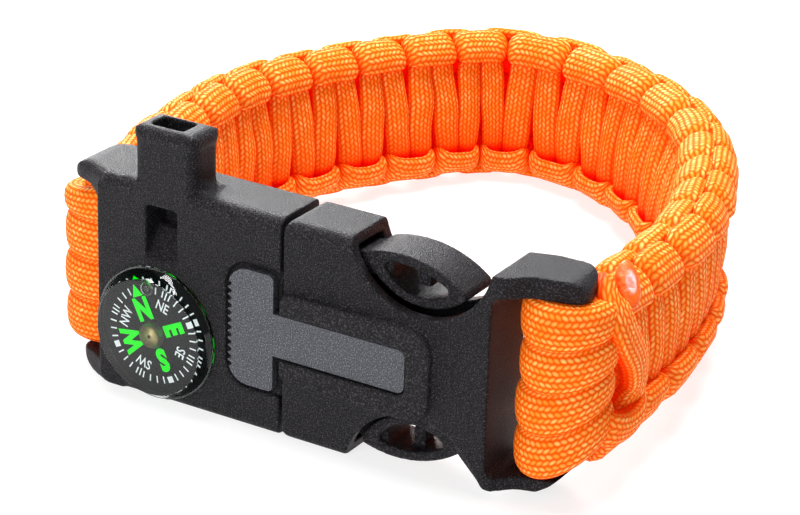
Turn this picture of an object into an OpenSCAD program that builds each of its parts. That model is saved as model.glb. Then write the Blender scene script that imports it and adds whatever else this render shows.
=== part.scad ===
/* [Buckle] */
// Height of the buckle, lower edge to upper edge
buckle_h = 26.7; // [26:0.1:28]
// Thickness of the buckle, front face to back
buckle_t = 8.1; // [8:0.1:9]
// Length of the front face left of the joint line
left_len = 25.6; // [25:0.1:27]
// Length of the front face right of the joint line
right_len = 26.7; // [26:0.1:28]
// Gap between the two halves along the joint line
seam_gap = 0.3; // [0.2:0.05:0.5]
// Radius along the upper and lower front edges
edge_r = 1.5; // [0.8:0.1:2]
// Thickness of each ear and each frame rail
rail_t = 2.6; // [2.2:0.1:3]
// Radius of the left bar that carries the cord
left_bar_r = 1.5; // [1.3:0.1:1.6]
// Radius of the right bar that carries the cord
right_bar_r = 1.7; // [1.6:0.1:1.9]

/* [Clasp hollow and arms] */
// Thickness of the front and back walls round the hollow
shell_t = 1.5; // [1.2:0.1:1.8]
// Radius of the finger cut-outs in the upper and lower edges
cutout_r = 9.1; // [8.9:0.1:9.3]
// Front-to-back size of the spring arms
arm_depth = 4.6; // [4:0.1:4.8]
// Front-to-back size of the release tips
tip_depth = 6; // [5.5:0.1:6.5]

/* [Whistle] */
// Height of the whistle above the upper edge
whistle_h = 7; // [5:0.5:9]
// Width of the whistle
whistle_w = 7.7; // [7:0.1:9]
// Depth of the whistle, front to back
whistle_d = 5.2; // [5:0.1:6]
// Width of the air passage
passage_w = 4.3; // [4:0.1:4.8]
// Depth of the air passage
passage_d = 2.8; // [2.4:0.1:3]

/* [Compass] */
// Radius of the clear capsule where it enters the front face
capsule_r = 8; // [7.8:0.1:8.1]
// Radius of the capsule's flat front
capsule_front_r = 7.2; // [7:0.1:7.5]
// How far the capsule stands out of the front face
capsule_out = 1.8; // [1.7:0.1:2.2]
// How far the capsule is let into the front face
capsule_in = 2; // [1.8:0.1:2.1]
// Wall thickness of the capsule
capsule_wall = 0.5; // [0.4:0.05:0.5]
// Radius of the turning card
card_r = 6.7; // [6:0.1:6.8]
// Radius of the brass hub
hub_r = 1.55; // [1.3:0.05:1.8]
// Radius of the pivot post
pivot_r = 0.4; // [0.35:0.01:0.45]

/* [Striker plate] */
// Thickness of the metal plate
plate_t = 1; // [0.8:0.1:1.1]
// Height of the plate's wide head
head_h = 14.3; // [13:0.1:15]
// Height of the plate's bar
plate_bar_h = 5.2; // [4.5:0.1:6]
// Length of the bar right of the joint line
plate_bar_len = 16.5; // [15:0.1:17]
// Number of teeth along the head's left side
tooth_count = 12; // [8:1:14]
// Depth of the teeth
tooth_depth = 0.5; // [0.3:0.05:0.6]

/* [Woven band] */
// Width of the band, lower edge to upper edge
band_w = 20.8; // [19:0.1:21]
// Thickness of the band, inner face to outer face
band_t = 8.3; // [7.6:0.1:8.6]
// Number of knots along the band
knot_count = 21; // [18:1:24]
// How deep the edge loops are notched
loop_notch = 1.1; // [0:0.1:1.5]
// How deep the strands are grooved across the faces
strand_groove = 0.6; // [0:0.1:0.9]

/* [Cord wraps] */
// Number of turns on each bar
wrap_count = 4; // [3:1:5]
// Outer radius of the turns, left bar
left_wrap_r = 6.1; // [5.6:0.1:6.2]
// Outer radius of the turns, right bar
right_wrap_r = 5.7; // [5.3:0.1:6]
// Depth of the grooves between the turns
wrap_groove = 1; // [0.4:0.1:1.4]

/* [Hidden] */
$fn = 64;
fit_gap = 0.3;
seat_gap = 0.05;
// How far cutting solids start in front of the front face
reach = 5;
bar_seat = 0.6;
half_h = buckle_h / 2;
seam_x = seam_gap / 2;
slot_half = half_h - rail_t;
upper_corner = 2.4;
ear_corner = 3;
rail_corner = 4;

// Bars in plan, x and y
left_bar = [-27.3, 5.8];
right_bar = [32.4, 6.4];
// Middles of the cord turns in plan, which lie further out than the bars
left_turns = [-28.7, 7];
right_turns = [33.4, 6.8];

// Compass centre on the front face, x and z
compass_at = [-17.2, -4.9];
capsule_corner = 0.5;
rim_r = 8.2;
rim_t = 0.25;
card_y = 0.2;
card_t = 0.4;
hub_y0 = -1.2;
hub_y1 = 0.7;
base_t = 0.8;
pivot_foot = 0.4;

// Whistle's left side and the height of its sound window
whistle_x = -19.7;
window_z = [4, 7.4, 10.8];

// Plate centre height, its head's left side and its front face
plate_z = -0.7;
head_x = -6.9;
plate_y = -0.4;
platform_y = -0.8;
head_fit = 0.6;
plate_fit = 0.15;
platform_half = 5.6;
platform_end = 19.8;

// Middle line of the band, going round from the left bar to the right bar.
// Columns: x, y, outward lean of the upper edge in degrees, drop below the buckle's middle,
// share of the knots that lie before this row
BAND_PATH = [
    [-30.4, 11.8,  0, 0.0, 0.00],
    [-34.4, 22.5,  0, 0.2, 0.06],
    [-37.5, 36.0,  1, 0.8, 0.13],
    [-38.1, 50.0,  3, 1.4, 0.21],
    [-35.5, 63.9,  5, 2.0, 0.29],
    [-29.6, 76.4,  7, 2.5, 0.37],
    [-22.3, 85.2,  6, 2.8, 0.44],
    [-13.0, 87.9,  4, 2.8, 0.49],
    [ -2.8, 84.9,  4, 2.5, 0.54],
    [  8.6, 77.3,  9, 1.8, 0.61],
    [ 18.4, 66.5, 13, 1.2, 0.68],
    [ 26.6, 52.2,  6, 0.8, 0.77],
    [ 31.4, 38.0,  3, 0.5, 0.86],
    [ 33.1, 24.5, -1, 0.2, 0.93],
    [ 33.5, 12.7, -2, 0.0, 1.00],
];
// Part of a knot that lies before the first row
first_knot = 0.4;
band_rings = knot_count * 6;
band_sides = 20;

function unit(v) = v / norm(v);

// One corner of an outline, rounded with radius r
function rounded_corner(a, b, c, r, n) =
    r <= 0 ? [b] :
    let (u = unit(a - b), v = unit(c - b), half = acos(u * v) / 2,
         m = b + unit(u + v) * r / sin(half), p = b + u * r / tan(half), q = b + v * r / tan(half),
         a0 = atan2(p.y - m.y, p.x - m.x),
         da = (atan2(q.y - m.y, q.x - m.x) - a0 + 540) % 360 - 180)
    [for (i = [0:n]) m + r * [cos(a0 + da * i / n), sin(a0 + da * i / n)]];

// A whole outline from a table with the columns x, y, corner radius
function rounded(table, n = 6) = [
    for (i = [0:len(table) - 1])
        let (k = len(table), a = table[(i + k - 1) % k], b = table[i], c = table[(i + 1) % k])
        each rounded_corner([a.x, a.y], [b.x, b.y], [c.x, c.y], b[2], n)];

// Points along the circle through three points
function arc_through(a, b, c, n = 12) =
    let (d = 2 * (a.x * (b.y - c.y) + b.x * (c.y - a.y) + c.x * (a.y - b.y)),
         m = [(a * a * (b.y - c.y) + b * b * (c.y - a.y) + c * c * (a.y - b.y)) / d,
              (a * a * (c.x - b.x) + b * b * (a.x - c.x) + c * c * (b.x - a.x)) / d],
         r = norm(a - m), a0 = atan2(a.y - m.y, a.x - m.x),
         da = (atan2(c.y - m.y, c.x - m.x) - a0 + 540) % 360 - 180)
    [for (i = [0:n]) m + r * [cos(a0 + da * i / n), sin(a0 + da * i / n)]];

// Smooth curve through a table's rows, at position t counted in rows
function row(table, i) = table[max(0, min(len(table) - 1, i))];
function through(table, t) =
    let (i = min(floor(t), len(table) - 2), f = t - i,
         p0 = i == 0 ? 2 * row(table, 0) - row(table, 1) : row(table, i - 1),
         p1 = row(table, i), p2 = row(table, i + 1),
         p3 = i == len(table) - 2 ? 2 * p2 - p1 : row(table, i + 2))
    0.5 * (2 * p1 + (p2 - p0) * f + (2 * p0 - 5 * p1 + 4 * p2 - p3) * f * f
           + (3 * p1 - p0 - 3 * p2 + p3) * f * f * f);

// Extrusions of an x-z outline along y, and of a y-z outline along x
module along_y(y0, y1) {
    translate([0, y1, 0]) rotate([90, 0, 0]) linear_extrude(y1 - y0) children();
}
module along_x(x0, x1) {
    translate([x0, 0, 0]) rotate([90, 0, 90]) linear_extrude(x1 - x0) children();
}
module along_z(z0, z1) {
    translate([0, 0, z0]) linear_extrude(z1 - z0) children();
}
// An outline centred on the plate's height, from x0 to x1, with a corner radius for each end
module bar_outline(x0, x1, half, corners) {
    polygon(rounded([[x0, plate_z - half, corners[0]], [x1, plate_z - half, corners[1]],
                     [x1, plate_z + half, corners[1]], [x0, plate_z + half, corners[0]]]));
}
// A turned shape whose axis points out of the front face, r along x and depth along y
module turned(outline) {
    translate([compass_at.x, 0, compass_at.y]) rotate([90, 0, 0])
        rotate_extrude() polygon([for (p = outline) [p.x, -p.y]]);
}
module mirrored_z() {
    children();
    mirror([0, 0, 1]) children();
}
// Bar between the two ears or rails, let into each
module bar(at, r) {
    translate([at.x, at.y, -slot_half - bar_seat]) cylinder(r = r, h = 2 * (slot_half + bar_seat));
}
// Section of both halves, y and z, with the front edges rounded, the upper one most
module side_section() {
    polygon(rounded([[0, -half_h, edge_r / 2], [buckle_t, -half_h, 0.6],
                     [buckle_t, half_h, 0.6], [0, half_h, edge_r]]));
}
// An ear or rail seen from the front, from x = 0 to its end, with its outer corner rounded
module end_outline(end_x, corner_r) {
    polygon(rounded([[0, 0, 0], [end_x, 0, 0], [end_x, half_h, corner_r], [0, half_h, 0]]));
}

// Left half: body with whistle, compass pocket, ears with bar, and spring arms
EAR_PLAN = [[-22, 0, 0], [-24.4, 0, 1.5], [-30.0, 2.6, 1.8],
            [-29.8, 8.8, 2], [-26.5, 9.4, 2], [-22, 8, 0]];
ARM_OUTLINE = [[-1.5, 11.2, 0], [8.5, 11.2, 3], [13.5, 12.4, 0],
               [13.5, 9.4, 0], [8.5, 8.4, 3], [-1.5, 8.4, 0]];
TIP_OUTER = concat(arc_through([10.3, 11.9], [15.9, 12.55], [22.8, 9.9]),
                   arc_through([23.1, 9.1], [17.6, 6.9], [10.4, 11.0]));
TIP_HOLE = concat(arc_through([12.9, 11.2], [16.2, 11.3], [20.7, 9.8]),
                  arc_through([20.8, 9.2], [17.4, 8.0], [12.6, 10.6]));
// Post inside each release tip: x, y and z of its corner, and its size
TIP_POST = [[16.2, 2.6, 8.8], [1.6, 2, 2.7]];
lower_arm_lift = 0.4;
slot_wall_x = -22.3;
slot_front_y = 2.5;

module whistle_body() {
    intersection() {
        along_y(-reach, 2 * buckle_t)
            polygon(rounded([[-left_len, -half_h, 1.2], [-seam_x, -half_h, 0],
                             [-seam_x, half_h, 0], [-left_len, half_h, 1.2]]));
        along_x(-left_len, 0) side_section();
    }
}
module whistle_tube() {
    along_z(half_h - 2.2, half_h + whistle_h)
        polygon(rounded([[whistle_x, 0, 0.9], [whistle_x + whistle_w, 0, 0.9],
                         [whistle_x + whistle_w, whistle_d, 0.9], [whistle_x, whistle_d, 0.9]]));
    // Fillet at the right foot
    along_y(0.8, whistle_d - 0.4)
        translate([whistle_x + whistle_w, half_h])
            polygon(concat([[-0.5, -0.5], [-0.5, 1.8]],
                           arc_through([0, 1.8], [0.6, 0.6], [1.8, 0]), [[1.8, -0.5]]));
}
module whistle_passage() {
    x0 = whistle_x + 1.1;
    translate([x0, 1.3, window_z[1]]) cube([passage_w, passage_d, half_h + whistle_h]);
    along_x(x0, x0 + passage_w)
        polygon([[-1, window_z[2]], [1.3 + passage_d, window_z[2]], [1.3 + passage_d, window_z[1]],
                 [2.8, window_z[1]], [0, window_z[0]], [-1, window_z[0]]]);
}
module arm() {
    along_y((buckle_t - arm_depth) / 2, (buckle_t + arm_depth) / 2) polygon(rounded(ARM_OUTLINE));
    along_y((buckle_t - tip_depth) / 2, (buckle_t + tip_depth) / 2) difference() {
        polygon(TIP_OUTER);
        polygon(TIP_HOLE);
    }
    translate(TIP_POST[0]) cube(TIP_POST[1]);
}
module ear(corner_r) {
    intersection() {
        along_z(slot_half, half_h) polygon(rounded(EAR_PLAN));
        along_y(-reach, 2 * buckle_t) end_outline(EAR_PLAN[2].x, corner_r);
    }
}
// Web that fills the corner between the front face's left side and the upper ear
module ear_web() {
    intersection() {
        along_z(0, half_h) polygon(rounded(EAR_PLAN));
        along_y(-reach, slot_front_y - 0.1)
            polygon(concat(arc_through([-29, 11], [-26.9, 10.35], [-25.5, 8.6]), [[-25.3, 11]]));
    }
}
module whistle_half() color("#2a2a2d") {
    difference() {
        union() {
            whistle_body();
            whistle_tube();
            ear(upper_corner);
            ear_web();
            mirror([0, 0, 1]) ear(ear_corner);
        }
        whistle_passage();
        turned([[0, -reach], [capsule_r + seat_gap, -reach], [capsule_r + seat_gap, capsule_in + seat_gap],
                [0, capsule_in + seat_gap]]);
        along_y(-reach, plate_y + plate_t + seat_gap)
            bar_outline(head_x - head_fit, 2, head_h / 2 + head_fit, [3, 0]);
        // Room for the cord between the wall and the bar
        translate([-left_len - 1, slot_front_y, -slot_half])
            cube([left_len + 1 + slot_wall_x, buckle_t, 2 * slot_half]);
    }
    arm();
    translate([0, 0, lower_arm_lift]) mirror([0, 0, 1]) arm();
    bar(left_bar, left_bar_r);
}

// Right half: hollow body with finger cut-outs, raised platform, frame and bar
function frame_plan(end_x) =
    [[22, 0, 0], [27.8, 0, 3], [end_x - 6, 2.4, 3], [end_x - 3.2, 3.0, 3], [end_x, 3.9, 1.8],
     [end_x - 1.3, 9.6, 2.8], [29.8, 9.4, 4], [25.5, 8, 0], [22, 8, 0]];
upper_frame_end = 36.3;
lower_frame_end = 34.8;
lower_rail_step = 0.6;
hollow_end = 24.4;
side_wall = 1.3;
// Middle of each finger cut-out: x, and how far it lies outside the edge
cutout_x = 17.7;
cutout_past = 1.9;

module cutouts() {
    mirrored_z() translate([cutout_x, -reach, half_h + cutout_past])
        rotate([-90, 0, 0]) cylinder(r = cutout_r, h = 4 * buckle_t);
}
module rail(end_x, corner_r) {
    intersection() {
        along_z(slot_half - bar_seat, half_h) polygon(rounded(frame_plan(end_x)));
        along_y(-reach, 2 * buckle_t) end_outline(end_x, corner_r);
    }
}
module clasp_half() color("#2a2a2d") {
    difference() {
        union() {
            intersection() {
                along_y(-reach, 2 * buckle_t)
                    polygon(rounded([[seam_x, -half_h, 1.2], [right_len, -half_h, 0],
                                     [right_len, half_h, 0], [seam_x, half_h, 1.2]]));
                along_x(0, right_len) side_section();
            }
            rail(upper_frame_end, upper_corner);
            translate([0, 0, lower_rail_step]) mirror([0, 0, 1]) rail(lower_frame_end, rail_corner);
            along_y(platform_y, 0.5) bar_outline(seam_x, platform_end, platform_half, [1.5, 2.8]);
        }
        cutouts();
        translate([0, shell_t, -half_h + side_wall])
            cube([hollow_end, buckle_t - 2 * shell_t, buckle_h - 2 * side_wall]);
        translate([right_len, -reach, -slot_half]) cube([upper_frame_end, 4 * buckle_t, 2 * slot_half]);
        along_y(-reach, plate_y + plate_t + seat_gap)
            bar_outline(-2, plate_bar_len + plate_fit, plate_bar_h / 2 + plate_fit, [0, 1]);
    }
    bar(right_bar, right_bar_r);
}

// Striker: toothed head over the left half, bar let into the platform
module striker_plate() color("#8d929b") {
    head_end = -0.8;
    tooth_margin = 1.7;
    z0 = plate_z - head_h / 2 + tooth_margin;
    tooth_h = (head_h - 2 * tooth_margin) / tooth_count;
    along_y(plate_y, plate_y + plate_t) {
        difference() {
            bar_outline(head_x, head_end, head_h / 2, [2.6, 0.7]);
            for (i = [0:tooth_count - 1])
                translate([head_x, z0 + i * tooth_h])
                    polygon([[-1, 0], [0, 0], [tooth_depth, tooth_h * 0.25], [tooth_depth, tooth_h * 0.6],
                             [0, tooth_h * 0.85], [-1, tooth_h * 0.85]]);
        }
        bar_outline(2 * head_end, plate_bar_len, plate_bar_h / 2, [0, 0.9]);
    }
}

// Compass: base with pivot post, clear capsule, turning card and brass hub
module compass_base() color("#1c1c1e") {
    inner = capsule_r - capsule_wall;
    turned([[0, capsule_in], [inner - seat_gap, capsule_in], [inner - seat_gap, capsule_in - base_t],
            [pivot_r + 0.8, capsule_in - base_t], [pivot_r, capsule_in - base_t - pivot_foot],
            [pivot_r, hub_y0 + 0.8], [0, hub_y0 + 0.8]]);
}
module compass_capsule() color("#dfe8e6", 0.35) {
    inner = capsule_r - capsule_wall;
    turned(concat([[inner, capsule_in], [capsule_r, capsule_in], [capsule_r, -seat_gap],
                   [rim_r, -seat_gap], [rim_r, -seat_gap - rim_t], [capsule_r, -seat_gap - rim_t]],
                  [for (a = [0:15:90]) [capsule_front_r - capsule_corner * (1 - cos(a)),
                                        -capsule_out + capsule_corner * (1 - sin(a))]],
                  [[0, -capsule_out], [0, -capsule_out + capsule_wall],
                   [capsule_front_r - capsule_wall, -capsule_out + capsule_wall], [inner, 0]]));
}
module compass_card() color("#121214") {
    turned([[hub_r + seat_gap, card_y], [card_r, card_y],
            [card_r, card_y + card_t], [hub_r + seat_gap, card_y + card_t]]);
}
module compass_hub() color("#a5823c") {
    turned([[0, hub_y0], [hub_r - 0.3, hub_y0], [hub_r, hub_y0 + 0.3], [hub_r, hub_y1],
            [pivot_r + seat_gap, hub_y1], [pivot_r + seat_gap, hub_y0 + 0.7], [0, hub_y0 + 0.7]]);
}

// Woven band: one swept solid with looped edges and grooved faces. The loops of the two faces
// take turns along each edge, and a pair of strands runs from each upper loop to the lower ones.
function bump(u) = sqrt(abs(cos(180 * u)));
function band_point(s, k) =
    let (t = s * (len(BAND_PATH) - 1),
         p = through(BAND_PATH, t), q = through(BAND_PATH, t + 0.01), o = through(BAND_PATH, t - 0.01),
         d = unit([q.x - o.x, q.y - o.y]), out = [-d.y, d.x],
         a = 360 * (k + 0.5) / band_sides, c = cos(a), z = sin(a),
         knots = first_knot + p[4] * knot_count, stagger = (c > 0) == (z > 0) ? 0 : 0.5,
         edge = pow(abs(z), 3),
         half_w = band_w / 2 - loop_notch * edge * (1 - bump(knots + stagger)),
         half_t = band_t / 2 - strand_groove * (1 - edge) * (1 - bump(2 * knots + 0.5)),
         n = half_t * sign(c) * pow(abs(c), 0.55), w = half_w * sign(z) * pow(abs(z), 0.75))
    [p.x + out.x * (n * cos(p[2]) + w * sin(p[2])), p.y + out.y * (n * cos(p[2]) + w * sin(p[2])),
     w * cos(p[2]) - n * sin(p[2]) - p[3]];
module swept(points, rings, sides) {
    walls = [for (i = [0:rings - 2], k = [0:sides - 1])
             let (a = i * sides + k, b = i * sides + (k + 1) % sides)
             each [[a, b + sides, b], [a, a + sides, b + sides]]];
    ends = [[for (k = [0:sides - 1]) k], [for (k = [0:sides - 1]) rings * sides - 1 - k]];
    polyhedron(points, concat(walls, ends));
}
module woven_band() color("#ff6a13") {
    points = [for (i = [0:band_rings], k = [0:band_sides - 1]) band_point(i / band_rings, k)];
    swept(points, band_rings + 1, band_sides);
}

// Turns of cord round a bar: a ring closed on itself, with one rounded rib for each turn.
// The lowest turn climbs towards the back by rise, where its cord runs off into the band.
module wraps(bar, bar_r, middle, rx, ry, rise) {
    ring_n = 28;
    per_turn = 5;
    steps = wrap_count * per_turn;
    z1 = slot_half - fit_gap;
    n = steps + 3;
    points = [for (j = [0:ring_n - 1])
              let (a = 360 * j / ring_n, d = [cos(a), sin(a)],
                   z0 = -z1 + rise * pow((1 + cos(a - 20)) / 2, 2), hole = bar + d * (bar_r + fit_gap))
              each concat([for (i = [0:steps])
                           let (end_step = i == 0 || i == steps ? 1.2 : 1,
                                groove = end_step * wrap_groove * (1 - bump(i / per_turn + 0.5)))
                           [middle.x + d.x * (rx - groove), middle.y + d.y * (ry - groove),
                            z0 + (z1 - z0) * i / steps]],
                          [[hole.x, hole.y, z1], [hole.x, hole.y, z0]])];
    polyhedron(points, [for (j = [0:ring_n - 1], k = [0:n - 1])
                        let (a = j * n + k, b = j * n + (k + 1) % n, c = (j + 1) % ring_n * n)
                        each [[a, b, c + (k + 1) % n], [a, c + (k + 1) % n, c + k]]]);
}
module left_wraps() color("#ff6a13") {
    wraps(left_bar, left_bar_r, left_turns, left_wrap_r, 4.5, 1);
}
module right_wraps() color("#ff6a13") {
    wraps(right_bar, right_bar_r, right_turns, right_wrap_r, right_wrap_r - 0.2, 4.5);
}

// Melted cord end on the upper edge of the band near the right bar
melted_at = [36.1, 14.4, 10.55];
melted_r = 1;
melted_len = 1.2;
module melted_end() color("#e8481c") {
    translate(melted_at) {
        sphere(r = melted_r);
        cylinder(r = melted_r, h = melted_len);
        translate([0, 0, melted_len]) sphere(r = melted_r);
    }
}

// Whole loop with the buckle's lower edge on z = 0 and the middle of its box at x = y = 0
band_left = 42.5;
band_back = 92.2;
centre_x = (right_turns.x + right_wrap_r - band_left) / 2;
centre_y = (band_back - capsule_out) / 2;
module placed() {
    translate([-centre_x, -centre_y, half_h]) children();
}

placed() whistle_half();
placed() clasp_half();
placed() striker_plate();
placed() compass_base();
placed() compass_capsule();
placed() compass_card();
placed() compass_hub();
placed() woven_band();
placed() left_wraps();
placed() right_wraps();
placed() melted_end();
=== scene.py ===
"""Woven cord bracelet whose buckle carries a compass, a striker plate and a whistle.

All sizes are millimetres in the buckle's own frame: x to the right along its front face, y to
the back, z up from the middle of its height. placed() turns such a point into the row frame.
"""

import math

import bmesh
import bpy
import numpy as np
from mathutils import Matrix, Vector


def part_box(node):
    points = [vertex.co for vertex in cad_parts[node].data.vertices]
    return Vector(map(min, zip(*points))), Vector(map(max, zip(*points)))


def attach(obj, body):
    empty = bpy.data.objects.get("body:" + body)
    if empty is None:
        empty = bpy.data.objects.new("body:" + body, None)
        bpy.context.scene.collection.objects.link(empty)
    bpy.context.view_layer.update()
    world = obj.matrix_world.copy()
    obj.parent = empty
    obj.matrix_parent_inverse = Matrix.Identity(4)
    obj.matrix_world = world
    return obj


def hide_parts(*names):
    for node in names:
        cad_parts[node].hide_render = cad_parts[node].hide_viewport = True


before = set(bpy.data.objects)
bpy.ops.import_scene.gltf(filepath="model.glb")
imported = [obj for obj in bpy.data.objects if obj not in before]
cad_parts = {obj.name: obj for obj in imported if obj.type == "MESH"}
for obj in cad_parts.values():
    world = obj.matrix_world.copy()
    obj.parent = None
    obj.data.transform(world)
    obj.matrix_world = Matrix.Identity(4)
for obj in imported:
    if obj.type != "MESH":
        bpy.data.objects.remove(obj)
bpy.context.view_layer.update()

MM = 0.001

# Compass card: its centre and front face in the buckle's frame, which give the frame's place
CARD_X, CARD_Z, CARD_Y = -17.2, -4.9, 0.2
card_low, card_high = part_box("compass_card")
ORIGIN = Vector((
    (card_low.x + card_high.x) / 2 - CARD_X * MM,
    card_low.y - CARD_Y * MM,
    (card_low.z + card_high.z) / 2 - CARD_Z * MM,
))

# How near points have to lie to become one, in metres: on the buckle and in the print
WELD, PRINT_WELD = 1e-6, 1e-8

# Buckle: its half height and that of the clasp's slot, then the grid on which its halves are
# rebuilt, the smoothing passes that round their edges, and the share of the faces that stays
BUCKLE_HALF_H = 13.35
SLOT_HALF_H = 10.75
EDGE_VOXEL = 0.15
EDGE_PASSES = 20
KEPT_FACES = 0.35
# Whistle tube: left and right side, back and top. Its mouth is wider by LIP above LIP_Z, and the
# upper left ear is longer by EAR_STRETCH beyond EAR_X and above EAR_Z
TUBE = (-20.3, -11.9, 5.2, 20.35)
LIP, LIP_Z, LIP_RAMP = 1.05, 18.3, 0.6
EAR_STRETCH, EAR_X, EAR_Z, EAR_RAMP = 1.36, -27.4, 9.5, 1.5
# Blocks that widen the whistle's tube a little to both sides, each as an outline in x and z and
# its reach in y
WHISTLE_BLOCKS = [
    ([(TUBE[0], 12.2), (-18.9, 12.2), (-18.9, TUBE[3]), (TUBE[0], TUBE[3])], 0.0, TUBE[2]),
    ([(TUBE[1], 14.5), (-12.9, 14.5), (-12.9, TUBE[3]), (TUBE[1], TUBE[3])], 0.0, TUBE[2]),
]
# Blocks that fill two corners of the clasp's slot, and one that brings its lower edge down beside
# the lower rail
SLOT_WALL_X, FILLET = 26.7, 0.9
SLOT_CORNER = [(-0.3, -FILLET), (0, -FILLET), (0.25 * FILLET, -0.3 * FILLET), (FILLET, 0),
               (FILLET, 0.3), (-0.3, 0.3)]
CLASP_BLOCKS = [
    *(([(SLOT_WALL_X + x, end * (SLOT_HALF_H + z)) for x, z in SLOT_CORNER], 0.3, 7.8)
      for end in (1, -1)),
    ([(22.9, -7.5), (23.0, -8.7), (23.45, -9.25), (26.2, -11.85), (27.0, -12.3), (27.7, -12.35),
      (27.7, -11.4), (26.4, -11.4), (26.4, -8.7)], 0.15, 7.6),
]
# Lower edge of the clasp's rail, from its left end to its right end
TRIM_X = (25.2, 26.2, 27.0, 29.0, 31.6, 33.0, 34.0, 34.8)
TRIM_Z = (-11.2, -11.9, -12.35, -12.4, -12.35, -11.5, -10.5, -9.4)
# Edges of the whistle half that are rounded more: the two faces that meet, each as the direction
# it faces and how far out it lies, the part of x and z where they meet, and the radius
FRONT, TOP = ((0, -1, 0), 0.0), ((0, 0, 1), BUCKLE_HALF_H)
EAR_SLOPE = ((-0.421, -0.907, 0), 10.27)
TUBE_LEFT, TUBE_RIGHT = ((-1, 0, 0), -TUBE[0]), ((1, 0, 0), TUBE[1])
TUBE_BACK, TUBE_TOP = ((0, 1, 0), TUBE[2]), ((0, 0, 1), TUBE[3])
TUBE_REACH = ((TUBE[0] - 1, TUBE[1] + 1), (BUCKLE_HALF_H + 0.3, TUBE[3] + 1))
EAR_REACH = (10.75, BUCKLE_HALF_H + 1)
WHISTLE_ROUNDS = [
    (TUBE_LEFT, FRONT, *TUBE_REACH, 1.2), (TUBE_RIGHT, FRONT, *TUBE_REACH, 1.4),
    (TUBE_LEFT, TUBE_BACK, *TUBE_REACH, 1.2), (TUBE_RIGHT, TUBE_BACK, *TUBE_REACH, 1.2),
    (TUBE_TOP, FRONT, *TUBE_REACH, 1.2), (TUBE_TOP, TUBE_LEFT, *TUBE_REACH, 1.3),
    (TUBE_TOP, TUBE_RIGHT, *TUBE_REACH, 1.3), (TUBE_TOP, TUBE_BACK, *TUBE_REACH, 1.2),
    (TOP, EAR_SLOPE, (-31, -24.9), EAR_REACH, 1.4),
    (TOP, FRONT, (-24.9, TUBE[0]), EAR_REACH, 1.2),
]

# Woven band. Columns: x, y, outward lean of the upper edge in degrees, drop below the buckle's
# middle, share of the knots that lie before this row
BAND_PATH = [
    (-30.4, 11.8, 0, 0.0, 0.00),
    (-34.4, 22.5, 0, 0.2, 0.06),
    (-37.5, 36.0, 1, 0.8, 0.13),
    (-38.3, 50.0, 3, 1.4, 0.21),
    (-35.0, 63.5, 5, 2.0, 0.29),
    (-29.2, 75.9, 7, 2.5, 0.37),
    (-22.3, 85.2, 6, 2.8, 0.44),
    (-13.0, 87.9, 4, 2.8, 0.49),
    (-2.8, 84.9, 4, 2.5, 0.54),
    (8.6, 77.3, 9, 1.8, 0.61),
    (18.4, 66.5, 13, 1.2, 0.68),
    (26.6, 52.2, 6, 0.8, 0.77),
    (31.4, 38.0, 3, 0.5, 0.86),
    (33.1, 24.5, -1, 0.2, 0.93),
    (33.5, 12.7, -2, 0.0, 1.00),
]
KNOTS = 21
FIRST_KNOT = 0.4
PITCH = 8.8
SAMPLES_PER_KNOT = 12
# How far the outer face's lower and upper edges are drawn in, how far the lower edge is lifted on
# both faces and on the outer one besides, and how far the outer upper edge is let down
LOW_IN, HIGH_IN = 1.3, 0.45
LOW_LIFT, OUTER_LOW_LIFT, HIGH_DROP = 0.45, 0.4, 0.3
# The band's section on which the cords lie: a rounded rectangle, walked from the middle of a
# face towards an edge. Half thickness, half width and corner radius of that line
SHELL_T, SHELL_W, SHELL_R = 3.1, 9.35, 2.8
# Loops along an edge: the gap that each leaves on both sides, and how deep their ends go
LOOP_GAP, LOOP_DEPTH = 0.8, 2.3
# Strands across a face: where on that line they start and end, their thickness, then their width
# and their height over the line, each at the ends and what it gains in the middle
STRAND_START, STRAND_END, STRAND_THICK = 8.6, -9.4, 2.9
STRAND_WIDTH, STRAND_SWELL = 2.9, 1.45
STRAND_HEIGHT, STRAND_RISE = -2.35, 1.35
# Core cords: the heights of their middles, half thickness and half width
CORE_AT, CORE_HALF_T, CORE_HALF_W = (-6.2, -2.1, 2.1, 6.2), 1.7, 2.15
# How far the strands lie unevenly, in millimetres, and how fine that is
UNEVEN, UNEVEN_SCALE = 0.7, 210.0

# Cord. The braid's columns run along the cord, its rows across it
BRAID_COLUMN = 0.7
BRAID_ROW = 0.77
BRAID_UV = "braid"
# Name of the attribute that says how deep in the weave a point lies; the braided cord paints deeper
# points darker and redder, as painted shade
DEPTH = "depth"
CORD_SIDES = 20

# Cord turns on the bars: middle in plan, outer radii, how far the lowest turn climbs at the back,
# how far each turn lies to the left, from the lowest to the uppermost, and how much of its height
# the uppermost keeps on the left
LEFT_TURNS = dict(middle=(-28.7, 7.0), radii=(6.0, 4.5), rise=1.0,
                  shifts=(0.0, 0.15, 0.0, 0.1), last=0.55)
RIGHT_TURNS = dict(middle=(33.4, 6.8), radii=(5.4, 5.4), rise=4.5,
                   shifts=(0.65, 0.75, 0.45, 0.55), last=1.0)
TURN_TOP = 10.45
TURN_THICK = 3.3

# Cords between the right bar's turns and the band: the lead that fills the top behind the rail,
# the last strand down the outer face, and the loop that it ends in
LEAD_CORD = [(32.2, 8.8, 8.5), (35.0, 7.9, 8.9), (37.0, 6.9, 8.3)]
LAST_STRAND = [(34.2, 11.2, 9.3), (36.0, 9.2, 9.9), (37.4, 8.6, 8.4), (37.9, 10.0, 5.4),
               (37.8, 12.6, 1.9), (37.2, 14.2, -1.6), (36.4, 13.4, -4.6), (35.2, 12.0, -6.4)]
LAST_LOOP = [(35.7, 6.4, -3.6), (37.4, 7.9, -4.9), (37.7, 11.0, -5.8), (37.6, 14.2, -5.6),
             (36.4, 16.4, -4.8), (34.9, 17.0, -4.4)]

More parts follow.
